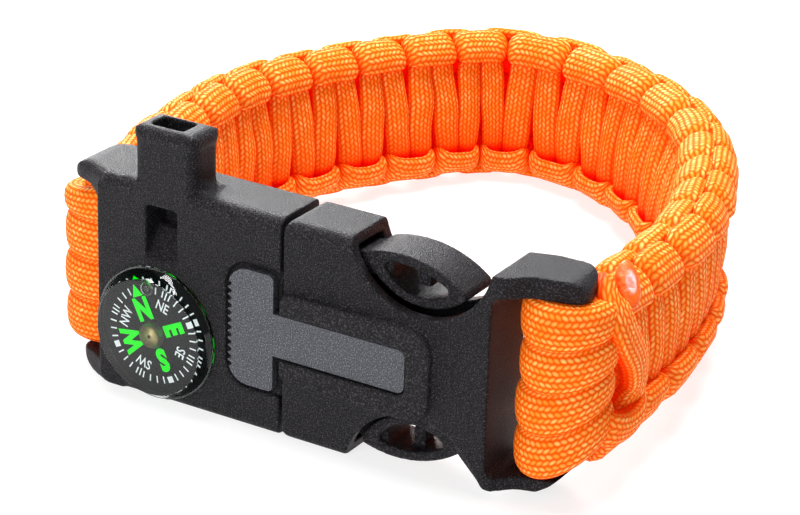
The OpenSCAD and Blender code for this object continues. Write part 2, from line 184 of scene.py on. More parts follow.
# Melted end: its middle, the way it faces, the way its long axis runs, its half width and half
# length, and its rounding as the share of that outline at each height
MELTED_AT = (36.75, 12.5, 10.45)
MELTED_FACING, MELTED_ALONG = (0.6, -0.3, 0.74), (0.2, -0.45, -0.87)
MELTED_HALF_W, MELTED_HALF_L = 1.34, 3.0
MELTED_PROFILE = [(0.7, -2.2), (0.97, -0.8), (1, 0), (0.97, 0.22), (0.88, 0.36), (0.75, 0.46),
                  (0.6, 0.56), (0.42, 0.64), (0.22, 0.68), (0.05, 0.69)]

# Compass. Bearings are in degrees clockwise from the card's north, as seen from the front
NORTH_LEAN = 26
CAPSULE_R, CAPSULE_FRONT_R, CAPSULE_OUT, CAPSULE_IN = 8.0, 7.2, 1.8, 2.0
CAPSULE_CORNER = 0.15
SEAT_GAP = 0.05
RIM_R, RIM_T = 8.2, 0.25
BUBBLE_AT, BUBBLE_R, BUBBLE_Y, BUBBLE_T = (-0.3, 6.0), 0.85, -1.15, 0.6
TICK_REACH = 6.0
PRINT_T, PRINT_GAP = 0.03, 0.01
POINTER_RADIUS, POINTER_HALF = 5.5, 0.75

# Camera: degrees to the right of the buckle's front, above the floor and of roll, then its place
# in millimetres of the row frame and its lens
CAMERA_TURN, CAMERA_RISE, CAMERA_ROLL = 30.687, 23.4, 1.793
CAMERA_AT, CAMERA_LENS = (158.18, -283.12, 145.78), 125.73

# Studio: half the floor's side in metres, the sky's strength, the point in metres that the lamps
# face, and each lamp's name, place and size in metres, and power
FLOOR_HALF, SKY_STRENGTH, LAMP_AIM = 1.5, 0.24, (0, 0, 0.015)
LAMPS = [("overhead", (-0.05, 0.1, 0.5), 0.35, 6.0), ("front_fill", (-0.1, -0.6, 0.16), 0.4, 2.3),
         ("back_glow", (-0.46, 0.44, 0.27), 0.28, 5.0)]


def placed(points):
    """Points of the buckle's frame in millimetres, as row frame points in metres."""
    return np.asarray(points, float) * MM + np.array(ORIGIN)


class Wire:
    """One output socket. Arithmetic on it adds Math nodes to its graph."""

    def __init__(self, graph, socket):
        self.graph = graph
        self.socket = socket

    def output(self, name):
        return Wire(self.graph, self.socket.node.outputs[name])

    def math(self, operation, *others):
        return self.graph.calculate(operation, self, *others)

    def __add__(self, other):
        return self.math("ADD", other)

    def __sub__(self, other):
        return self.math("SUBTRACT", other)

    def __rsub__(self, other):
        return self.graph.calculate("SUBTRACT", other, self)

    def __mul__(self, other):
        return self.math("MULTIPLY", other)

    def __truediv__(self, other):
        return self.math("DIVIDE", other)

    __radd__ = __add__
    __rmul__ = __mul__


class Graph:
    """A node tree with one way to add any node."""

    def __init__(self, tree):
        self.tree = tree

    def add(self, kind, settings=None, inputs=None, out=0):
        node = self.tree.nodes.new(kind)
        for name, value in (settings or {}).items():
            setattr(node, name, value)
        for key, value in (inputs or {}).items():
            if isinstance(value, Wire):
                self.tree.links.new(value.socket, node.inputs[key])
            else:
                node.inputs[key].default_value = value
        return Wire(self, node.outputs[out]) if len(node.outputs) else node

    def calculate(self, operation, *values):
        return self.add("ShaderNodeMath", {"operation": operation}, dict(enumerate(values)))

    def vector(self, operation, *values):
        return self.add("ShaderNodeVectorMath", {"operation": operation}, dict(enumerate(values)))

    def step(self, value, low, high):
        """0 below low, 1 above high, smooth between."""
        return self.add("ShaderNodeMapRange", {"interpolation_type": "SMOOTHSTEP"},
                        {0: value, 1: low, 2: high, 3: 0.0, 4: 1.0})

    def blend(self, factor, a, b):
        """Colour a where factor is 0, colour b where it is 1."""
        return self.add("ShaderNodeMix", {"data_type": "RGBA"}, {0: factor, 6: a, 7: b}, out=2)


def colour(red, green, blue):
    """An sRGB colour from 0 to 255 as a linear RGBA value."""
    def linear(c):
        c /= 255
        return c / 12.92 if c <= 0.04045 else ((c + 0.055) / 1.055) ** 2.4
    return (linear(red), linear(green), linear(blue), 1.0)


class Finish(Graph):
    """A material under construction."""

    def __init__(self, name):
        self.material = bpy.data.materials.new(name)
        self.material.use_nodes = True
        super().__init__(self.material.node_tree)
        self.tree.nodes.clear()
        self.place = self.add("ShaderNodeTexCoord", out="Object")

    def noise(self, grain, detail=2.0, rough=0.5):
        """Noise from 0 to 1 whose grains are that many millimetres wide."""
        return self.add("ShaderNodeTexNoise", None, {
            "Vector": self.place, "Scale": 1 / (grain * MM), "Detail": detail,
            "Roughness": rough})

    def bump(self, height, distance, strength):
        """A bump whose height of 1 stands for distance in millimetres."""
        return self.add("ShaderNodeBump", None, {
            "Height": height, "Distance": distance * MM, "Strength": strength})

    def surface(self, **inputs):
        """The shader, with underscores for the spaces in its socket names."""
        named = {key.replace("_", " "): value for key, value in inputs.items()}
        shader = self.add("ShaderNodeBsdfPrincipled", None, named)
        self.add("ShaderNodeOutputMaterial", None, {"Surface": shader})
        return self.material


def cord_finish():
    """Braided cord, orange, with painted light and shade: a pale fleck on each stitch's crown as a
    painted highlight, darker stitch rims, deep red where the cords press together, and a faint
    glow.
    """
    f = Finish("braided_cord")
    uv = f.add("ShaderNodeUVMap", {"uv_map": BRAID_UV})
    along = f.add("ShaderNodeSeparateXYZ", None, {0: uv})
    down = along.output("Y")
    column = along.math("FLOOR")
    across = along - column - 0.5
    odd = column.math("MODULO", 2.0)
    rows = down + odd * 0.5 + (odd * 2 - 1) * across * 0.55
    row = rows.math("FLOOR")
    within = rows - row - 0.5

    def reach(narrow, short):
        """Distance from the middle of a stitch, 1 at its rim."""
        square = (across * narrow).math("POWER", 2.0) + (within * short).math("POWER", 2.0)
        return square.math("SQRT")

    # Painted highlights: a pale fleck on each stitch's crown, fading where the weave is deep
    stitch_highlight = 1 - f.step(reach(2.4, 1.9), 0.2, 1.15)
    yarn = 1 - reach(1.9, 1.9).math("MINIMUM", 1.0).math("POWER", 2.0)
    cell = f.add("ShaderNodeCombineXYZ", None, {0: column, 1: row})
    chance = f.add("ShaderNodeTexWhiteNoise", {"noise_dimensions": "2D"}, {"Vector": cell})
    patch = f.step(f.noise(5.0), 0.3, 0.7)
    depth = f.add("ShaderNodeAttribute", {"attribute_name": DEPTH}, out="Fac")
    open_air = 1 - f.step(depth, 0.0, 0.6)
    # Each stitch is darker at its rim and lighter on its crown: painted shade and light on the
    # yarn's bump
    plain = f.blend(yarn, colour(238, 84, 0), colour(255, 128, 18))
    pale = f.blend(chance, colour(255, 162, 60), colour(255, 204, 118))
    shown = stitch_highlight * (0.3 + 0.4 * patch + 0.3 * chance) * open_air
    # Painted shade: deep red where the weave is deep, where the cords press together
    base = f.blend(f.step(depth, 0.1, 1.0), f.blend(shown, plain, pale), colour(255, 14, 0))
    # A faint glow, orange turning deep red where deep: painted light that keeps the shaded hollows
    # red
    glow = f.blend(depth, colour(255, 92, 0), colour(255, 24, 0))
    normal = f.bump(yarn + f.noise(0.25) * 0.2, 0.16, 0.8)
    return f.surface(Base_Color=base, Roughness=0.45 + 0.2 * (1 - stitch_highlight), Normal=normal,
                     Specular_IOR_Level=0.05, Emission_Color=glow, Emission_Strength=0.1)


def plastic_finish():
    """Black moulded plastic with a fine eroded grain whose pale specks are painted glints."""
    f = Finish("moulded_plastic")
    grain = f.noise(0.17, rough=0.6)
    cloud = f.noise(5.0)
    dark = f.blend(cloud, colour(6, 5, 7), colour(14, 12, 15))
    # Pale specks where the grain is high: painted glints on its bumps
    base = f.blend(f.step(grain, 0.48, 0.74), dark, colour(76, 72, 78))
    normal = f.bump(f.step(grain, 0.3, 0.7), 0.07, 1.0)
    return f.surface(Base_Color=base, Roughness=0.36 + 0.12 * cloud, Normal=normal,
                     Specular_IOR_Level=0.16)


def striker_finish():
    """Grey sintered steel with dark specks, and bright specks that are painted glints."""
    f = Finish("striker_steel")
    grain = f.noise(0.16, rough=0.7)
    cloud = f.noise(2.5)
    dull = f.blend(cloud, colour(52, 52, 56), colour(66, 67, 72))
    # Bright specks where the grain is high: painted glints
    specked = f.blend(f.step(grain, 0.5, 0.68), dull, colour(126, 130, 141))
    base = f.blend(f.step(grain, 0.46, 0.34), specked, colour(44, 44, 48))
    return f.surface(Base_Color=base, Metallic=0.3, Roughness=0.42 + 0.2 * grain,
                     Normal=f.bump(grain, 0.05, 0.8))


def brass_finish():
    """Brass button with a domed face and a small pit in its middle, painted dark as shade."""
    f = Finish("turned_brass")
    grain = f.noise(0.3, detail=3.0)
    place = f.add("ShaderNodeSeparateXYZ", None, {0: f.place})
    off_x = (place.output("X") - (ORIGIN.x + CARD_X * MM)) * (1 / MM)
    off_z = (place.output("Z") - (ORIGIN.z + CARD_Z * MM)) * (1 / MM)
    square = off_x * off_x + off_z * off_z
    pit = 1 - f.step(square, 0.02, 0.07)
    brass = f.blend(grain, colour(126, 112, 66), colour(190, 174, 124))
    # The pit's dark colour is painted shade
    base = f.blend(pit, brass, colour(52, 44, 26))
    normal = f.bump(0.1 * grain - square - 0.4 * pit, 0.22, 1.0)
    return f.surface(Base_Color=base, Metallic=1.0, Roughness=0.25 + 0.25 * grain, Normal=normal)


def card_finish():
    """Black printed card."""
    f = Finish("black_card")
    grain = f.noise(0.12)
    base = f.blend(grain, colour(2, 8, 7), colour(8, 18, 16))
    return f.surface(Base_Color=base, Roughness=0.4 + 0.2 * grain,
                     Normal=f.bump(grain, 0.005, 0.5), Specular_IOR_Level=0.0)


def print_finish(name, dark, light, glow):
    """Printed ink, a little uneven, that glows slightly."""
    f = Finish(name)
    grain = f.noise(0.2)
    base = f.blend(grain, dark, light)
    return f.surface(Base_Color=base, Roughness=0.5, Emission_Color=base, Emission_Strength=glow,
                     Specular_IOR_Level=0.0)


def clear_finish(name, refraction):
    """Clear and almost colourless, like polished acrylic or oil."""
    f = Finish(name)
    grain = f.noise(2.0)
    base = f.blend(grain, colour(240, 250, 246), colour(252, 255, 253))
    return f.surface(Base_Color=base, Roughness=0.002 + 0.004 * grain, Transmission_Weight=1.0,
                     IOR=refraction, Specular_IOR_Level=0.2)


def melted_finish():
    """Melted cord end: lumpy, orange at the rim and pale on top."""
    f = Finish("melted_cord")
    depth = f.add("ShaderNodeAttribute", {"attribute_name": DEPTH}, out="Fac")
    cloud = f.noise(0.8, detail=3.0)
    pale = f.blend(f.step(cloud, 0.35, 0.65), colour(240, 134, 118), colour(252, 210, 214))
    rim = f.blend(cloud, colour(250, 74, 8), colour(255, 118, 36))
    base = f.blend(f.step(depth + 0.6 * cloud, 0.62, 0.9), pale, rim)
    return f.surface(Base_Color=base, Roughness=0.34 + 0.2 * cloud, Coat_Weight=0.05,
                     Coat_Roughness=0.2, Normal=f.bump(cloud, 0.35, 0.8),
                     Specular_IOR_Level=0.2)


def floor_finish():
    """Pale, faintly uneven studio paper. It glows, so that the cord hardly tints it."""
    f = Finish("studio_paper")
    cloud = f.noise(90.0)
    base = f.blend(cloud, (0.295, 0.295, 0.295, 1), (0.305, 0.305, 0.305, 1))
    return f.surface(Base_Color=base, Roughness=0.9, Emission_Color=base, Emission_Strength=2.6)


def mesh_object(name, mesh, material=None):
    """A new object in the scene, at the origin."""
    made = bpy.data.objects.new(name, mesh)
    bpy.context.scene.collection.objects.link(made)
    if material:
        mesh.materials.clear()
        mesh.materials.append(material)
    return made


def smooth(mesh):
    """Shades every face smoothly."""
    mesh.polygons.foreach_set("use_smooth", [True] * len(mesh.polygons))
    mesh.update()


def worked_out(source):
    """The object as a plain mesh, with its modifiers worked out; the source object goes."""
    bpy.context.view_layer.update()
    graph = bpy.context.evaluated_depsgraph_get()
    mesh = bpy.data.meshes.new_from_object(source.evaluated_get(graph), depsgraph=graph)
    bpy.data.objects.remove(source)
    return mesh


def baked(source, name, material=None):
    """The object remade under that name, with its modifiers worked out."""
    mesh = worked_out(source)
    mesh.name = name
    return mesh_object(name, mesh, material)


def vertex_places(mesh):
    """The mesh's points as rows of x, y and z."""
    places = np.empty(3 * len(mesh.vertices))
    mesh.vertices.foreach_get("co", places)
    return places.reshape(-1, 3)


def unit(vectors):
    """Each vector at length 1."""
    return vectors / np.linalg.norm(vectors, axis=-1, keepdims=True)


def curve_between(p0, p1, p2, p3, t):
    """The place at share t from p1 to p2 on the smooth curve through all four."""
    return 0.5 * (2 * p1 + (p2 - p0) * t + (2 * p0 - 5 * p1 + 4 * p2 - p3) * t ** 2
                  + (3 * p1 - p0 - 3 * p2 + p3) * t ** 3)


class CordSkin:
    """Gathers swept cords into one mesh, with braid coordinates and a depth for each point."""

    def __init__(self):
        self.points = []
        self.depths = []
        self.faces = []
        self.coords = []

    def sweep(self, rings, lengths, depths, closed=False):
        """rings is m by CORD_SIDES by 3, lengths the places along the cord in millimetres."""
        rings = np.asarray(rings, float)
        count, sides = rings.shape[:2]
        first = len(self.points)
        self.points.extend(rings.reshape(-1, 3))
        self.depths.extend(np.broadcast_to(np.asarray(depths, float), (count, sides)).ravel())
        edges = np.linalg.norm(np.roll(rings, -1, axis=1) - rings, axis=2)
        girth = edges.sum(axis=1)
        columns = 2 * max(2, round(np.median(girth) / (2 * BRAID_COLUMN)))
        u = np.pad(np.cumsum(edges, axis=1), ((0, 0), (1, 0))) / girth[:, None] * columns
        v = np.asarray(lengths, float) / BRAID_ROW
        for i in range(count if closed else count - 1):
            j = (i + 1) % count
            a, b = first + i * sides, first + j * sides
            for k in range(sides):
                self.faces.append((a + k, a + (k + 1) % sides, b + (k + 1) % sides, b + k))
                self.coords.extend([(u[i, k], v[i]), (u[i, k + 1], v[i]),
                                    (u[j, k + 1], v[i + 1]), (u[j, k], v[i + 1])])
        if not closed:
            for i in (0, count - 1):
                self.faces.append([first + i * sides + k for k in range(sides)])
                self.coords.extend([(u[i, k], v[i]) for k in range(sides)])

    def mesh(self, name, to_metres):
        mesh = bpy.data.meshes.new(name)
        mesh.from_pydata([tuple(p) for p in to_metres(np.array(self.points))], [], self.faces)
        mesh.uv_layers.new(name=BRAID_UV).uv.foreach_set("vector", np.ravel(self.coords))
        mesh.attributes.new(DEPTH, "FLOAT", "POINT").data.foreach_set("value", self.depths)
        turned = bmesh.new()
        turned.from_mesh(mesh)
        bmesh.ops.recalc_face_normals(turned, faces=turned.faces)
        turned.to_mesh(mesh)
        turned.free()
        smooth(mesh)
        return mesh


def superellipse(count, power):
    """Directions round a flattened cord's section, boxier as power falls below 1."""
    a = 2 * np.pi * np.arange(count) / count
    c, s = np.cos(a), np.sin(a)
    return np.sign(c) * np.abs(c) ** power, np.sign(s) * np.abs(s) ** power


def steps_along(centres):
    """Length along a row of points, from 0."""
    return np.concatenate([[0], np.cumsum(np.linalg.norm(np.diff(centres, axis=0), axis=1))])


def shell(walk, height):
    """Outward and upward place of a point that far along the section's line and above it."""
    straight = SHELL_W - SHELL_R
    corner = SHELL_R * math.pi / 2
    turn = np.clip((walk - straight) / corner, 0, 1) * math.pi / 2
    past = np.maximum(walk - straight - corner, 0)
    r = SHELL_R + height
    out = SHELL_T - SHELL_R + r * np.cos(turn) - past
    up = np.minimum(walk, straight) + r * np.sin(turn)
    return out, up


def loop_cord(skin, x, side, edge, walk, width, rise, proud, thick=1.7, crest=0.42):
    """One loop along an edge, whose ends turn down into the band.

    side is 1 on the outer face and edge 1 on the upper edge. rise is how far its ends lie nearer
    to the face's middle, proud how far it stands out, and crest how round its back is.
    """
    half, deep = PITCH / 2 - LOOP_GAP, LOOP_DEPTH
    a = np.radians(np.linspace(-90, 90, 23))
    s, c = np.sin(a), np.cos(a)
    along = half * np.sign(s) * np.abs(s) ** 0.4
    sunk = deep * (1 - np.abs(c) ** crest)
    centre = np.column_stack([along, proud - sunk])
    ahead = unit(np.gradient(centre, axis=0))
    normal = np.column_stack([-ahead[:, 1], ahead[:, 0]])
    shift = -rise * np.abs(along / half) ** 3
    across, up = superellipse(CORD_SIDES, 0.7)
    rows = []
    for i in range(len(a)):
        t = thick / 2 * up
        out, high = shell(walk + shift[i] + width / 2 * (1 - 0.06 * s[i] ** 4) * across,
                          centre[i, 1] + t * normal[i, 1])
        rows.append(np.column_stack([x + centre[i, 0] + t * normal[i, 0], side * out, edge * high]))
    # Painted shade: the loop counts as deeper towards its ends, where they sink into the band
    depth = np.clip((sunk / deep - 0.12) * 1.6, 0, 1)[:, None] * np.ones(CORD_SIDES)
    skin.sweep(rows, steps_along(centre), depth)


def strand(skin, x_top, x_bottom, side):
    """One cord across a face, from under an upper loop into a lower one."""
    walk = np.linspace(STRAND_START, STRAND_END, 19)
    u = (walk - walk[0]) / (walk[-1] - walk[0])
    x = x_top + (x_bottom - x_top) * u * u * (3 - 2 * u)
    belly = np.sin(np.pi * u) ** 0.6
    width = STRAND_WIDTH + STRAND_SWELL * belly
    height = STRAND_HEIGHT + STRAND_RISE * belly
    across, up = superellipse(CORD_SIDES, 0.85)
    rows = []
    for i in range(len(walk)):
        out, high = shell(np.abs(walk[i]) + 0 * up, height[i] + STRAND_THICK / 2 * up)
        rows.append(np.column_stack([x[i] + width[i] / 2 * across, side * out,
                                     np.sign(walk[i] + 1e-9) * high]))
    # Painted shade: the strand counts as deep at its ends under the loops, more so on its lower
    # half, and on its inner side
    ends = np.clip((np.abs(walk) - 5.4) / 2.6, 0, 1) + np.clip(0.1 - walk / 9, 0, 1) * 0.6
    hollow = np.clip(0.85 - 1.35 * up, 0, 1)[None, :]
    skin.sweep(rows, steps_along(np.column_stack([x, walk])), np.maximum(ends[:, None], hollow))


def band_row(t):
    """Smooth curve through the band's table at t, counted in rows."""
    table = np.array(BAND_PATH)
    last = len(table) - 1
    i = int(min(max(math.floor(t), 0), last - 1))
    p1, p2 = table[i], table[i + 1]
    p0 = table[i - 1] if i > 0 else 2 * p1 - p2
    p3 = table[i + 2] if i < last - 1 else 2 * p2 - p1
    return curve_between(p0, p1, p2, p3, t - i)


def band_line():
    """The band's middle line as points at even steps of a knot, each with the band's own axes."""
    fine = np.linspace(-0.6, len(BAND_PATH) - 0.4, 1500)
    rows = np.array([band_row(t) for t in fine])
    ahead = unit(np.gradient(rows[:, :2], axis=0))
    knots = FIRST_KNOT + rows[:, 4] * KNOTS
    first, count = -1, (KNOTS + 3) * SAMPLES_PER_KNOT + 1
    wanted = first + np.arange(count) / SAMPLES_PER_KNOT
    x, y, lean, drop, dx, dy = (np.interp(wanted, knots, column) for column in
                                (*rows[:, :4].T, *ahead.T))
    length = np.hypot(dx, dy)
    out = np.column_stack([-dy / length, dx / length, 0 * dx])
    lean = np.radians(lean)[:, None]
    upright = np.array([0, 0, 1.0])
    line = bpy.data.meshes.new("band_line")
    line.from_pydata([tuple(p) for p in placed(np.column_stack([x, y, -drop]))], [], [])
    for name, axis in (("outward", out * np.cos(lean) - upright * np.sin(lean)),
                       ("upward", out * np.sin(lean) + upright * np.cos(lean))):
        line.attributes.new(name, "FLOAT_VECTOR", "POINT").data.foreach_set(
            "vector", axis.ravel())
    return mesh_object("band_line", line), first


def tucked(points):
    """The knot's points in metres, with its lower edge and its outer edges drawn in a little."""
    made = np.array(points, float)
    low = np.clip(-made[:, 2] / 10, 0, 1) ** 2
    high = np.clip(made[:, 2] / 10, 0, 1) ** 2
    outer = np.clip(made[:, 1] / 4, 0, 1)
    made[:, 1] -= outer * (LOW_IN * low + HIGH_IN * high)
    made[:, 2] += (LOW_LIFT + OUTER_LOW_LIFT * outer) * low - HIGH_DROP * outer * high
    return made * MM


def knot_mesh():
    """One knot of the weave, flat: x along the band, y outward, z up, in metres."""
    skin = CordSkin()
    half, pair = PITCH / 2, 1.9
    for side in (1, -1):
        upper = half if side < 0 else 0
        lower = half - upper
        loop_cord(skin, upper, side, 1, walk=8.7, width=5.2, rise=0.0, proud=0.25)
        if side < 0:
            loop_cord(skin, lower, side, -1, walk=9.5, width=5.6, rise=1.0, proud=0.5)
        else:
            loop_cord(skin, lower, side, -1, walk=8.0, width=7.2, rise=0.0, proud=0.9, thick=2.6,
                      crest=1.05)
        for end in (1, -1):
            strand(skin, upper + end * pair, upper + end * (half - pair + 0.1), side)
    return skin.mesh("knot", tucked)


def core_mesh():
    """The straight cords inside the band, for one knot."""
    skin = CordSkin()
    across, up = superellipse(CORD_SIDES, 0.8)
    x = np.linspace(-PITCH / 2, PITCH / 2, 5)
    for middle in CORE_AT:
        rows = [np.column_stack([0 * up + at, CORE_HALF_T * up, middle + CORE_HALF_W * across])
                for at in x]
        # The core cords count as fully deep: painted shade where they show between the strands
        skin.sweep(rows, x - x[0], 1.0)
    return skin.mesh("core", lambda p: p * MM)


def node_group(name, inputs, output):
    """A geometry node group with its sockets, and the identifier of each input by its name."""
    tree = bpy.data.node_groups.new(name, "GeometryNodeTree")
    sockets = {}
    for label, kind, *start in inputs:
        made = tree.interface.new_socket(name=label, in_out="INPUT",
                                         socket_type="NodeSocket" + kind)
        if start:
            made.default_value = start[0]
        sockets[label] = made.identifier
    tree.interface.new_socket(name=output, in_out="OUTPUT", socket_type="NodeSocketGeometry")
    return tree, sockets


def weave_tree(name):
    """Geometry nodes that repeat a flat knot along a line of points and bend it to that line."""
    tree, sockets = node_group(name, (
        ("Knot", "Geometry"), ("Line", "Object"), ("Knots", "Int", KNOTS),
        ("Pitch", "Float", PITCH * MM), ("Samples per knot", "Float", SAMPLES_PER_KNOT),
        ("First sample", "Float", 0.0), ("Unevenness", "Float", 0.0),
        ("Material", "Material")), "Band")
    g = Graph(tree)
    given = g.add("NodeGroupInput")
    pitch = given.output("Pitch")
    step = g.add("ShaderNodeCombineXYZ", None, {0: pitch})
    places = g.add("GeometryNodeMeshLine", None, {"Count": given.output("Knots"), "Offset": step})
    repeated = g.add("GeometryNodeInstanceOnPoints", None,
                     {"Points": places, "Instance": given.output("Knot")})
    joined = g.add("GeometryNodeRealizeInstances", None, {0: repeated})
    along = g.add("ShaderNodeSeparateXYZ", None, {0: g.add("GeometryNodeInputPosition")})
    samples = (along / pitch - given.output("First sample")) * given.output("Samples per knot")
    index = samples.math("FLOOR")
    between = samples - index
    line = g.add("GeometryNodeObjectInfo", None, {0: given.output("Line")}).output("Geometry")

    def sampled(field):
        """The line's field at this place, mixed between the two nearest points."""
        ends = [g.add("GeometryNodeSampleIndex", {"data_type": "FLOAT_VECTOR"},
                      {"Geometry": line, "Value": field, "Index": index + i}) for i in (0, 1)]
        return g.add("ShaderNodeMix", {"data_type": "VECTOR"},
                     {0: between, 4: ends[0], 5: ends[1]}, out=1)

    def axis(name):
        return sampled(g.add("GeometryNodeInputNamedAttribute", {"data_type": "FLOAT_VECTOR"},
                             {"Name": name}))

    def scaled(vector, amount):
        return g.add("ShaderNodeVectorMath", {"operation": "SCALE"}, {0: vector, "Scale": amount})

    middle = sampled(g.add("GeometryNodeInputPosition"))
    place = g.vector("ADD", middle, scaled(axis("outward"), along.output("Y")))
    place = g.vector("ADD", place, scaled(axis("upward"), along.output("Z")))
    wobble = g.add("ShaderNodeTexNoise", None,
                   {"Vector": place, "Scale": UNEVEN_SCALE, "Detail": 1.0})
    wobble = g.vector("SUBTRACT", wobble.output("Color"), (0.5, 0.5, 0.5))
    place = g.vector("ADD", place, scaled(wobble, given.output("Unevenness")))
    bent = g.add("GeometryNodeSetPosition", None, {"Geometry": joined, "Position": place})
    finished = g.add("GeometryNodeSetMaterial", None,
                     {"Geometry": bent, "Material": given.output("Material")})
    g.add("NodeGroupOutput", None, {0: finished})
    return tree, sockets


def woven(name, unit, uneven):
    """A piece made of a unit that repeats along the band."""
    line, first = band_line()
    tree, sockets = weave_tree(name + "_weave")
    made = mesh_object(name + "_unit", unit)
    nodes = made.modifiers.new("weave", "NODES")
    nodes.node_group = tree
    for label, value in (("Line", line), ("Knots", KNOTS + 1), ("First sample", float(first)),
                         ("Unevenness", uneven * MM), ("Material", CORD)):
        nodes[sockets[label]] = value
    piece = baked(made, name)
    bpy.data.objects.remove(line)
    # Nothing reaches below the floor that the bracelet lies on
    places = vertex_places(piece.data)
    places[:, 2] = np.maximum(places[:, 2], 0)
    piece.data.vertices.foreach_set("co", places.ravel())
    return piece


def woven_band():
    """All the knots, and the cords inside them, in place of the plain band."""
    knots = woven("woven_strands", knot_mesh(), UNEVEN)
    core = woven("core_strands", core_mesh(), 0.0)
    for piece in (knots, core):
        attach(piece, "root")
        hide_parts("woven_band")


def wraps(name, node, middle, radii, rise, shifts, last):
    """Turns of cord round a bar; the lowest one climbs towards the back.

    last is the share of its height that the uppermost one keeps on its left side.
    """
    skin = CordSkin()
    ring = 2 * np.pi * np.arange(48) / 48
    ends = np.append(ring, 2 * np.pi)
    across, up = superellipse(CORD_SIDES, 0.75)
    low = -TURN_TOP + rise * ((1 + np.cos(ring - math.radians(20))) / 2) ** 2
    rx, ry = (r - TURN_THICK / 2 for r in radii)
    for j, shift in enumerate(shifts):
        uppermost = j == len(shifts) - 1
        height = (TURN_TOP - low) / len(shifts)
        own = height * (last + (1 - last) * (1 + np.cos(ring)) / 2 if uppermost else 1)
        mid = low + height * j + own / 2
        rows = []
        for i, a in enumerate(ring):
            d = np.array([math.cos(a), math.sin(a)])
            r = TURN_THICK / 2 * up
            z = mid[i] + own[i] * 0.55 * across
            rows.append(np.column_stack([middle[0] - shift + d[0] * (rx + r),
                                         middle[1] + d[1] * (ry + r), z]))
        around = steps_along(np.column_stack([radii[0] * np.cos(ends), radii[1] * np.sin(ends)]))
        whole_rows = round(around[-1] / BRAID_ROW / 2) * 2
        # Painted shade: a turn counts as deep where it presses on the turns beside it, less so on
        # its outer side
        touching = -across if uppermost else np.abs(across)
        depth = np.clip((touching - 0.8) * 5, 0, 1) * np.clip(1.1 - up, 0, 1)
        skin.sweep(rows, around * whole_rows * BRAID_ROW / around[-1], depth[None, :], closed=True)
    piece = mesh_object(name, skin.mesh(name, placed), CORD)
    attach(piece, "root")
    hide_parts(node)


def smooth_path(points, steps):
    """A smooth curve through a few points, with that many steps between each two."""
    p = np.array([2 * np.array(points[0]) - points[1], *points,
                  2 * np.array(points[-1]) - points[-2]], float)
    curve = []
    for i in range(1, len(p) - 2):
        curve.extend(curve_between(*p[i - 1:i + 3], t) for t in np.arange(steps) / steps)
    return np.array(curve + [p[-2]])


def laid_cord(skin, points, facing, width, thick, depth_ends=0.0):
    """A flattened cord along given points, its flat side towards facing.

    depth_ends is how deep in the weave its ends count as lying, which darkens them with painted
    shade.
    """
    centres = smooth_path(points, 6)
    ahead = unit(np.gradient(centres, axis=0))
    facing = np.array(facing, float)
    normal = unit(facing - ahead * (ahead @ facing)[:, None])
    sideways = np.cross(ahead, normal)
    across, up = superellipse(CORD_SIDES, 0.8)
    rings = (centres[:, None, :] + sideways[:, None, :] * (width / 2 * across)[None, :, None]
             + normal[:, None, :] * (thick / 2 * up)[None, :, None])
    u = np.linspace(-1, 1, len(centres))
    depth = depth_ends * np.abs(u) ** 3
    # Painted shade: its ends and its underside count as deep
    skin.sweep(rings, steps_along(centres), np.maximum(depth[:, None], np.clip(0.7 - up, 0, 0.6)))


def end_cords():
    """The cords that join the right bar's turns to the band."""
    skin = CordSkin()
    laid_cord(skin, LEAD_CORD, facing=(0.3, 0, 1), width=4.2, thick=3.6)
    laid_cord(skin, LAST_STRAND, facing=(1, 0, 0.2), width=4.6, thick=2.6, depth_ends=0.5)
    laid_cord(skin, LAST_LOOP, facing=(1, 0, -0.3), width=4.2, thick=2.4, depth_ends=0.7)
    piece = mesh_object("end_cords", skin.mesh("end_cords", placed), CORD)
    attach(piece, "root")


def melted_end():
    """Flat blob of melted cord that lies over the band's outer upper corner."""
    skin = CordSkin()
    normal = unit(np.array(MELTED_FACING))
    length = np.array(MELTED_ALONG)
    length = unit(length - normal * (length @ normal))
    width = np.cross(normal, length)
    a = 2 * np.pi * np.arange(CORD_SIDES) / CORD_SIDES
    rim = (np.outer(np.cos(a), width) * MELTED_HALF_W
           + np.outer(np.sin(a), length) * MELTED_HALF_L)
    rows = [np.array(MELTED_AT) + share * rim + height * normal
            for share, height in MELTED_PROFILE]
    skin.sweep(rows, np.arange(len(rows)) * 0.4,
               np.array([[share] for share, _ in MELTED_PROFILE]))
    piece = mesh_object("melted_tip", skin.mesh("melted_tip", placed), melted_finish())
    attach(piece, "root")
    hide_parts("melted_end")


def add_prism(solid, outline, y0, y1):
    """Adds a block to a bmesh, from an x and z outline and its reach in y."""
    rings = [[solid.verts.new(p) for p in placed([(x, y, z) for x, z in outline])]
             for y in (y0, y1)]
    count = len(outline)
    solid.faces.new(rings[0])
    solid.faces.new(rings[1][::-1])
    for i in range(count):
        j = (i + 1) % count
        solid.faces.new((rings[0][i], rings[1][i], rings[1][j], rings[0][j]))


def round_edge(points, face_a, face_b, x_reach, z_reach, radius):
    """Moves the points near the edge between two square faces onto a round of that radius."""
    x, z = points[:, 0], points[:, 2]
    near = (x > x_reach[0]) & (x < x_reach[1]) & (z > z_reach[0]) & (z < z_reach[1])
    normals = np.array([face_a[0], face_b[0]], float)
    into = radius - (np.array([face_a[1], face_b[1]]) - points @ normals.T)
    far = np.hypot(*np.maximum(into, 0).T)
    near &= (into > 0).all(axis=1) & (far > radius)
    back = into[near] * (1 - radius / far[near])[:, None]
    points[near] -= back @ normals


